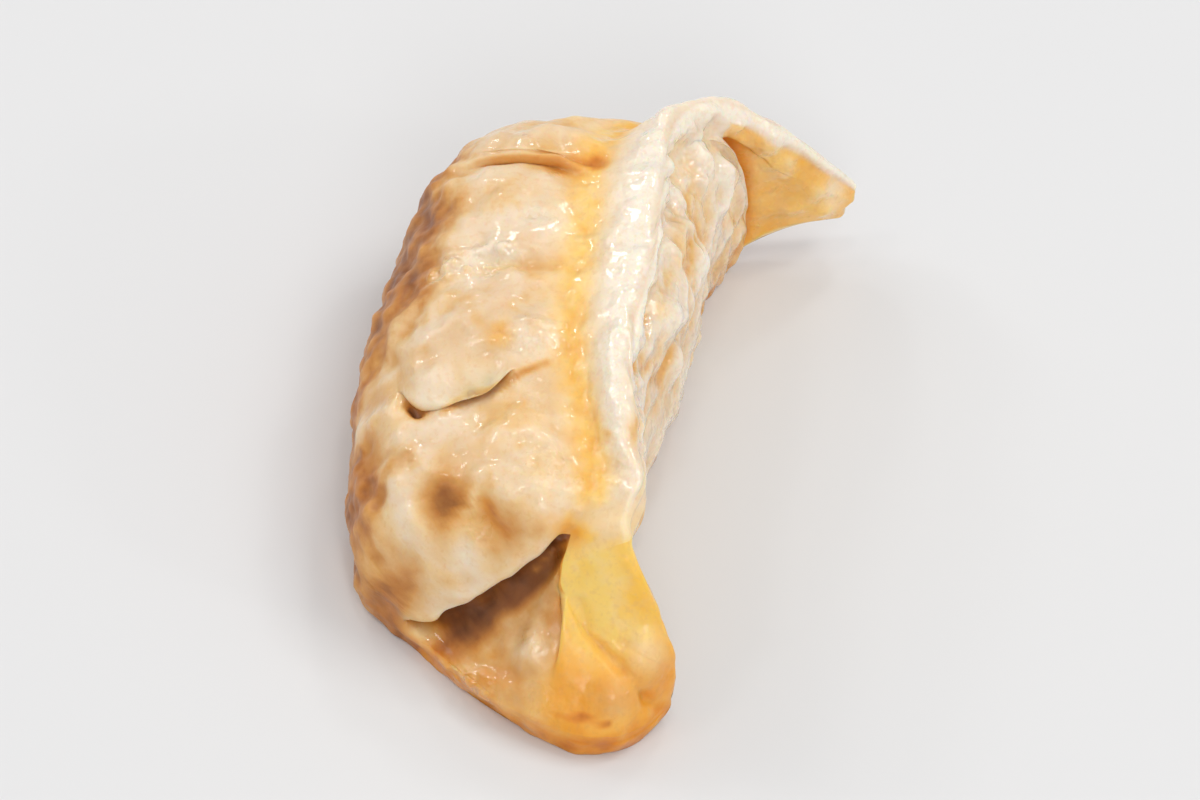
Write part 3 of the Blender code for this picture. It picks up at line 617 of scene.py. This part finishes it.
def masks(p, q, t, fold, layer, detail):
    """Where the dough is golden and moist, pale (with painted light on rises and blisters), and how far it is browned,
    with painted shade in folds, pits, hollows and under the lips.
    """
    near = noise(p, 5.0, 21)
    fine = fbm(p, 1.8, 3, 22)
    solid = p
    p = p + np.stack([fbm(p, 3.2, 2, 31 + k) for k in range(3)], -1) * 1.3        # patches get ragged outlines
    run, begins = detail["run"], detail["begins"]
    gold = np.exp(-((run + 0.2) / 2.7) ** 2) * (t < 4) * ease(1.9, 2.3, q) * ease(6.4, 5.8, q) * (1.02 + 0.25 * fine)
    down = np.clip((t - 2) * 0.78, 0, 1) * (t < 4)
    split = q - (1.02 + 0.22 * down) + 0.10 * down * near
    ear = ease(0.10 + 0.60 * down**2, -0.30 * down**2, split) * (t < 3.6)
    apron = ease(2.25, 2.0, t + 0.1 * near) * ease(2.35, 1.45, q + 0.25 * near + 0.1 * fine) * ((layer < 1.5) | (t < 2.05))
    gold = np.maximum(gold, np.maximum(ear, apron))
    gold = np.maximum(gold, ((t < 2) | (t > 7.5)) * ease(2.9, 1.6, q + 0.2 * near) * 0.60)
    gold = np.maximum(gold, detail["tail_in"] * (0.9 + 0.3 * near))
    gold = np.maximum(gold, fold * (t > 5))
    for c, r, amount in HONEY:
        gold = np.maximum(gold, amount * blob(p, c, r) * (0.75 + 0.4 * fine))

    pale = np.exp(-((t - 0.8) / 0.80) ** 2) * ease(2.1, 2.7, q) * (t < 3)
    pale = np.maximum(pale, ease(7.4, 8.2, t) * ease(2.5, 3.0, q) * (1 - detail["tail_in"]))
    pale = pale * (1 - 0.9 * ease(6.0, 6.5, q) * ease(0.6, 1.4, np.minimum(t, 9 - t)))
    pale = np.maximum(pale, 0.6 * near_line(p, SHOULDER, 1.2))
    pale = np.maximum(pale, 0.85 * detail["back"] * ease(-0.2, 0.9, detail["wrinkle"]) * ease(4.6, 5.6, t))
    pale = np.maximum(pale, 0.5 * blob(p, (22.8, -13.8, 14.4), (2.4, 3.4, 2.4)))
    pale = np.maximum(pale, 0.6 * blob(p, (5.9, -18.6, 19.6), (1.8, 2.4, 2.0)))
    # the blisters and the bubbles above the rim painted pale: their pale dough together with a painted highlight for
    # their glints
    pale = np.maximum(pale, 0.85 * detail["spot"] * (layer > 1.5))
    # rises in the skin painted paler: painted light
    pale = np.maximum(pale, 0.55 * np.clip(detail["relief"], 0, 1) * (t < 4.5) * (layer > 1))
    for c, r, amount in CREAM:
        pale = np.maximum(pale, amount * blob(p, c, r))
    for c in BULGES[1:4]:
        k = blob(solid, c[0], np.array(c[1]) * 0.85)
        gold = gold * (1 - 0.45 * k)
        pale = np.maximum(pale, 0.30 * k)
    gold = np.maximum(gold, 0.90 * ease(5.5, 1.5, solid[..., 2] + 0.8 * near) * (q < 2.0) * (t < 4.2))
    gold = np.maximum(gold, 0.42 * detail["back"] * ease(0.4, -0.5, detail["wrinkle"]))

    # browning and painted shade, 0 raw to 1 dark
    browning_and_shade = ease(-0.10, 0.22, t - begins + 0.07 * near + 0.05 * fine) * ease(4.2, 4.0, t) * (layer > 1.4) * (0.60 + 0.16 * near + 0.10 * fine)
    panel = (1 - ear) * (layer < 1.5) * (t > 2.05) * (t < 4) * ease(0.5, 1.0, q)
    bump = blob(solid + 0.4 * (p - solid), (29.4, -4.3, 8.0), 2.0)
    gold = gold * (1 - 0.8 * bump)
    browning_and_shade = np.maximum(browning_and_shade, panel * (0.44 + 0.12 * fine - 0.14 * down) * (1 - 0.95 * bump))
    browning_and_shade = np.maximum(browning_and_shade, ease(6.4, 0.6, p[..., 2] + 0.6 * near) * (t < 4.2) * (0.52 + 0.10 * fine))
    browning_and_shade = np.maximum(browning_and_shade, (t > 3.9) * (t < 5.1) * (0.56 + 0.10 * near + 0.08 * fine))
    browning_and_shade = np.maximum(browning_and_shade, ease(6.5, 5.2, t + 0.15 * near) * (t > 5) * (0.44 + 0.2 * fine) * ease(6.2, 6.0, q))
    browning_and_shade = np.maximum(browning_and_shade, detail["back"] * ease(0.1, -0.8, detail["wrinkle"]) * (0.40 + 0.16 * near) * ease(5.3, 4.6, q))
    # the pit painted dark: painted shade
    browning_and_shade = np.maximum(browning_and_shade, 0.95 * near_line(solid, PIT, 0.85))
    browning_and_shade = np.maximum(browning_and_shade, (0.74 + 0.2 * fine) * near_line(solid, FAR_RIM, 0.75))
    browning_and_shade = np.maximum(browning_and_shade, (0.68 + 0.2 * fine) * near_line(solid + 0.4 * (p - solid), LOW_MARK, 0.85))
    # darker along the lower edge of the biggest pleat's lip: painted shade where it curls under
    lip = (layer > 1.7) * (layer < 2.05) * ease(2.12, 2.3, t) * ease(0.55, 0.0, q - 1.97 - 0.16 * down)
    browning_and_shade = np.maximum(browning_and_shade, lip * (0.12 + 0.22 * near + 0.10 * fine))
    for c, r, _, amount in DENTS:
        stain = amount * np.minimum(1.0, 1.2 * blob(solid + 0.45 * (p - solid), c, np.array(r) * 0.90))
        browning_and_shade = np.maximum(browning_and_shade, stain) + 0.12 * np.minimum(browning_and_shade, stain)
    belly = ease(2.02, 2.2, t) * (t < 4) * (layer > 1.5)
    marked = sum(blob(solid, c, r) for c, r, _, _ in DENTS[:3])
    # hollows in the skin painted browner: painted shade
    hollow_shade = np.clip(-detail["relief"], 0, 1) * (t < 4.2) * (layer > 1.5) * np.clip(1 - marked, 0, 1) * ease(0.60, 0.30, browning_and_shade)
    browning_and_shade = browning_and_shade + (0.30 + 0.1 * near) * hollow_shade
    browning_and_shade = browning_and_shade + (0.085 + 0.05 * ease(3.6, 4.4, q)) * belly + belly * 0.20 * ease(-0.1, 0.9, fbm(p, 5.5, 3, 33)) * ease(0.60, 0.30, browning_and_shade)
    # darker along the groove: painted shade
    browning_and_shade = np.maximum(browning_and_shade, 0.56 * near_line(solid, GROOVE, 0.55))
    browning_and_shade = browning_and_shade + (0.07 + 0.06 * fine) * detail["valley"]
    # 0.12 warms the tail's golden face; the extra darkening just beside the tail's lip is a painted shadow of the lip
    browning_and_shade = np.maximum(browning_and_shade, detail["tail_in"] * (0.12 + 0.38 * ease(6.34, 6.02, q) * ease(7.6, 6.6, t)))
    browning_and_shade = np.maximum(browning_and_shade, ear * (0.30 * ease(12.5, 7.5, solid[..., 2]) + 0.08 * near))
    # painted shade on the sheets inside the slots of the folds
    browning_and_shade = np.maximum(browning_and_shade, detail["stain"])
    browning_and_shade = np.maximum(browning_and_shade, 0.62 * blob(p, (13.4, -0.3, 22.9), 0.8))
    # the pocket under the lip of the biggest pleat painted dark: painted shade
    cavity_shade = ease(1.60, 1.84, q + 0.06 * near) * (layer < 1.5) * (t > 2.05) * ease(3.3, 2.8, t)
    browning_and_shade = np.maximum(browning_and_shade, cavity_shade * (0.90 + 0.12 * fine))
    # the wedge from the apex down under the lip painted dark: painted shade
    browning_and_shade = np.maximum(browning_and_shade, 0.87 * near_line(solid, [(23.4, -3.4, 16.0), (24.0, -4.6, 13.0), (25.0, -6.8, 10.0), (24.9, -9.2, 7.8), (24.5, -11.8, 5.6)], 1.75) * (layer < 1.6) * (t > 2.05))
    browning_and_shade *= 1 - 0.6 * pale * (layer > 1.5)
    browning_and_shade *= 1 - 0.75 * blob(solid, (25.5, -15.8, 3.6), (1.5, 2.2, 1.2))
    return {k: np.clip(v, 0, 1) for k, v in dict(gold=gold, browning_and_shade=browning_and_shade, pale=pale, wet=detail["wet"]).items()}


def close_ends(p, count=END_ROWS):
    """Rounds off the two cut ends: extra rows that close over the thin edge."""
    n = p.shape[1]
    half = sum(RING[:4]) + RING[4] // 2
    pair = (-np.arange(n)) % n
    rows = []
    for row, nxt, back in ((p[0], p[1], True), (p[-1], p[-2], False)):
        mid = (row + row[pair]) / 2
        thick = np.linalg.norm(row - row[pair], axis=-1)[:, None] / 2
        away = unit((row - nxt) - 0)
        extra = [mid + (row - mid) * cos(a) + away * np.minimum(thick, 1.0) * sin(a)
                 for a in np.linspace(0, pi / 2, count + 1)[1:]]
        rows.append(extra[::-1] if back else extra)
    return np.concatenate([np.array(rows[0]), p, np.array(rows[1])])


def pad(a, count=END_ROWS):
    return np.concatenate([np.repeat(a[:1], count, 0), a, np.repeat(a[-1:], count, 0)])


p, q, t, fold, layer, detail = build_skin()
layers = masks(p, q, t, fold, layer, detail)
p = close_ends(p)
layers = {k: pad(v) for k, v in layers.items()}

# placed by the solid's box: the plain loft's own box maps onto it
lo, hi = p.reshape(-1, 3).min(0), p.reshape(-1, 3).max(0)
plain_lo, plain_hi = np.array([-42.9, -25.4, 0.0]), np.array([35.4, 21.8, 27.6])
scale = (cad_hi.x - cad_lo.x) / MM / (plain_hi[0] - plain_lo[0])
centre = np.array([(plain_lo[0] + plain_hi[0]) / 2, (plain_lo[1] + plain_hi[1]) / 2, 0.0])
box_centre = np.array([(cad_lo.x + cad_hi.x) / 2, (cad_lo.y + cad_hi.y) / 2, cad_lo.z])


def to_frame(v):
    return (np.asarray(v, float) - centre) * scale * MM + box_centre


def make_mesh(name, p, layers):
    rows, cols = p.shape[:2]
    idx = np.arange(rows * cols).reshape(rows, cols)
    nxt = np.roll(idx, -1, 1)
    quads = np.stack([idx[:-1], idx[1:], nxt[1:], nxt[:-1]], -1).reshape(-1, 4)
    mesh = bpy.data.meshes.new(name)
    mesh.from_pydata(to_frame(p.reshape(-1, 3)).tolist(), [], quads.tolist())
    for key, v in layers.items():
        a = mesh.attributes.new(key, "FLOAT", "POINT")
        a.data.foreach_set("value", v.reshape(-1).astype(np.float32))
    obj = bpy.data.objects.new(name, mesh)
    bpy.context.scene.collection.objects.link(obj)
    import bmesh
    bm = bmesh.new()
    bm.from_mesh(mesh)
    bmesh.ops.remove_doubles(bm, verts=[v for v in bm.verts if v.index < cols or v.index >= (rows - 1) * cols], dist=1e-6)
    bmesh.ops.holes_fill(bm, edges=[e for e in bm.edges if e.is_boundary], sides=0)
    bmesh.ops.recalc_face_normals(bm, faces=bm.faces)
    bm.to_mesh(mesh)
    bm.free()
    mesh.shade_smooth()
    return obj


# ---------------------------------------------------------------- material
def node(tree, kind, **props):
    n = tree.nodes.new(kind)
    for k, v in props.items():
        if k.startswith("in_"):
            key = k[3:].replace("_", " ")
            n.inputs[int(key) if key.isdigit() else key].default_value = v
        else:
            setattr(n, k, v)
    return n


def dough_material():
    m = bpy.data.materials.new("fried_dough")
    m.use_nodes = True
    tr = m.node_tree
    link = tr.links.new
    bsdf = next(x for x in tr.nodes if x.type == "BSDF_PRINCIPLED")
    where = node(tr, "ShaderNodeTexCoord").outputs["Object"]

    def attr(name):
        return node(tr, "ShaderNodeAttribute", attribute_name=name).outputs["Fac"]

    def tex(scale, detail=3.0, rough=0.55, distort=0.0):
        n = node(tr, "ShaderNodeTexNoise", in_Scale=scale / MM, in_Detail=detail, in_Roughness=rough, in_Distortion=distort)
        link(where, n.inputs["Vector"])
        return n.outputs["Fac"]

    def ramp(value, a, b, lo=0.0, hi=1.0):
        n = node(tr, "ShaderNodeMapRange", interpolation_type="SMOOTHSTEP")
        for key, v in zip(("From Min", "From Max", "To Min", "To Max"), (a, b, lo, hi)):
            n.inputs[key].default_value = v
        link(value, n.inputs["Value"])
        return n.outputs["Result"]

    def maths(op, a, b):
        n = node(tr, "ShaderNodeMath", operation=op)
        for i, v in enumerate((a, b)):
            if isinstance(v, (int, float)):
                n.inputs[i].default_value = v
            else:
                link(v, n.inputs[i])
        return n.outputs[0]

    def mix(fac, a, b):
        n = node(tr, "ShaderNodeMix", data_type="RGBA")
        for sock, v in ((n.inputs[0], fac), (n.inputs[6], a), (n.inputs[7], b)):
            if isinstance(v, tuple):
                sock.default_value = v + (1.0,)
            elif isinstance(v, (int, float)):
                sock.default_value = v
            else:
                link(v, sock)
        return n.outputs[2]

    broad, spots, fine = tex(0.16, 2.0), tex(0.55, 3.0), tex(1.6, 3.0)
    col = mix(ramp(broad, 0.35, 0.65), (0.78, 0.575, 0.37), (0.84, 0.70, 0.56))
    gold = maths("MULTIPLY", attr("gold"), ramp(spots, 0.25, 0.6, 0.8, 1.0))
    col = mix(gold, col, mix(ramp(broad, 0.35, 0.65), (0.95, 0.55, 0.07), (1.0, 0.67, 0.17)))
    pale = maths("MULTIPLY", attr("pale"), ramp(fine, 0.2, 0.6, 0.7, 1.0))
    col = mix(pale, col, (0.96, 0.87, 0.73))

    col = mix(ramp(fine, 0.50, 0.68, 0.0, 0.22), col, (0.74, 0.46, 0.20))

    # browning stains the dough through honey and orange-brown to dark brown, and the same ramp darkens the painted
    # shade in folds, pits, hollows and under the lips; speckles push it either way
    speck = maths("MULTIPLY", maths("SUBTRACT", spots, 0.5), 0.20)
    level = maths("ADD", attr("browning_and_shade"), maths("MULTIPLY", speck, ramp(attr("browning_and_shade"), 0.05, 0.35)))
    toast_and_shade_ramp = node(tr, "ShaderNodeValToRGB")
    stops = [(0.0, (1.0, 1.0, 1.0)), (0.22, (0.95, 0.78, 0.50)), (0.45, (0.82, 0.50, 0.18)), (0.62, (0.64, 0.31, 0.075)),
             (0.80, (0.36, 0.15, 0.04)), (1.0, (0.14, 0.05, 0.018))]
    for i, (at, c) in enumerate(stops):
        e = toast_and_shade_ramp.color_ramp.elements[i] if i < 2 else toast_and_shade_ramp.color_ramp.elements.new(at)
        e.position = at
        e.color = c + (1.0,)
    link(level, toast_and_shade_ramp.inputs["Fac"])
    stain = node(tr, "ShaderNodeMix", data_type="RGBA", blend_type="MULTIPLY")
    stain.inputs[0].default_value = 1.0
    link(col, stain.inputs[6])
    link(toast_and_shade_ramp.outputs["Color"], stain.inputs[7])
    col = stain.outputs[2]
    link(col, bsdf.inputs["Base Color"])

    wet = maths("MULTIPLY", attr("wet"), ramp(tex(0.45, 2.0), 0.35, 0.60, 0.45, 1.0))
    link(ramp(wet, 0.0, 0.9, 0.52, 0.16), bsdf.inputs["Roughness"])
    link(ramp(wet, 0.05, 0.7, 0.15, 1.0), bsdf.inputs["Coat Weight"])
    bsdf.inputs["Subsurface Weight"].default_value = 0.45
    bsdf.inputs["Subsurface Radius"].default_value = (1.0, 0.5, 0.2)
    bsdf.inputs["Subsurface Scale"].default_value = 1.3 * MM
    bsdf.inputs["IOR"].default_value = 1.45
    bsdf.inputs["Coat Roughness"].default_value = 0.10
    bsdf.inputs["Coat IOR"].default_value = 1.47

    bumps = maths("MULTIPLY", maths("ADD", tex(0.60, 1.5, 0.45, 0.3), maths("MULTIPLY", tex(1.3, 1.0), 0.30)), ramp(attr("wet"), 0.1, 0.8, 0.30, 0.75))
    b = node(tr, "ShaderNodeBump", in_Strength=0.8, in_Distance=0.6 * MM)
    link(bumps, b.inputs["Height"])
    link(b.outputs["Normal"], bsdf.inputs["Normal"])
    return m


skin = make_mesh("gyoza_skin", p, layers)
skin.data.materials.append(dough_material())
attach(skin, "root")
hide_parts("gyoza")


# ---------------------------------------------------------------- floor, light, camera
def floor():
    mesh = bpy.data.meshes.new("floor")
    s = 3.0
    mesh.from_pydata([(-s, -s, 0), (s, -s, 0), (s, s, 0), (-s, s, 0)], [], [(0, 1, 2, 3)])
    o = bpy.data.objects.new("floor", mesh)
    bpy.context.scene.collection.objects.link(o)
    m = bpy.data.materials.new("floor")
    m.use_nodes = True
    b = next(x for x in m.node_tree.nodes if x.type == "BSDF_PRINCIPLED")
    b.inputs["Base Color"].default_value = (0.74, 0.74, 0.745, 1)
    b.inputs["Roughness"].default_value = 0.6
    mesh.materials.append(m)
    o.location.z = cad_lo.z


def lamp(name, back, distance, size, power, color=(1, 1, 1)):
    d = bpy.data.lights.new(name, "AREA")
    d.shape, d.size, d.energy, d.color = "DISK", size, power, color
    o = bpy.data.objects.new(name, d)
    o.location = aim + Vector(back).normalized() * distance
    o.rotation_euler = (aim - o.location).to_track_quat("-Z", "Y").to_euler()
    bpy.context.scene.collection.objects.link(o)


aim = Vector(to_frame((-3.0, -1.5, 11.0)))
floor()
lamp("key", (-0.15, 0.45, 0.88), 0.9, 0.45, 1.55, (1.0, 0.985, 0.96))
lamp("fill", (-0.40, -0.70, 0.60), 0.9, 0.55, 0.95)
lamp("front", (0.85, 0.15, 0.60), 0.9, 0.40, 1.7)
for i, (x, y, z, power) in enumerate([(-0.70, -0.45, 0.50, 0.34), (-0.66, 0.12, 0.70, 0.34), (0.20, 0.85, 0.45, 0.26), (0.10, -0.55, 0.85, 0.26),
                                      (0.50, 0.10, 0.85, 0.26), (-0.10, -0.10, 1.00, 0.26), (-0.30, -0.80, 0.55, 0.26), (-0.35, 0.45, 0.80, 0.26)]):
    lamp("glint_%d" % i, (x, y, z), 0.8, 0.09, power)
world = bpy.data.worlds.new("studio")
world.use_nodes = True
bg = world.node_tree.nodes["Background"]
bg.inputs["Color"].default_value = (1.0, 1.0, 1.0, 1)
path = world.node_tree.nodes.new("ShaderNodeLightPath")
dim = world.node_tree.nodes.new("ShaderNodeMapRange")
dim.inputs["To Min"].default_value = 0.54
dim.inputs["To Max"].default_value = 0.30
world.node_tree.links.new(path.outputs["Is Glossy Ray"], dim.inputs["Value"])
world.node_tree.links.new(dim.outputs["Result"], bg.inputs["Strength"])
bpy.context.scene.world = world

cam_data = bpy.data.cameras.new("camera")
cam = bpy.data.objects.new("camera", cam_data)
bpy.context.scene.collection.objects.link(cam)
eye = Vector(to_frame((583.7, 0.0, 631.9)))
forward = (aim - eye).normalized()
side = forward.cross(Vector((0, 0, 1))).normalized()
up = side.cross(forward)
lean = radians(8.3)                       # the upright leans a little to the right in the frame
cam_up = up * cos(lean) - side * sin(lean)
cam_right = forward.cross(cam_up)
cam.matrix_world = Matrix((cam_right, cam_up, -forward)).transposed().to_4x4()
cam.location = eye
cam_data.sensor_width = 36.0
cam_data.lens = 250.0
cam_data.clip_start, cam_data.clip_end = 0.05, 20.0
bpy.context.scene.camera = cam
bpy.context.scene.view_settings.view_transform = "Standard"
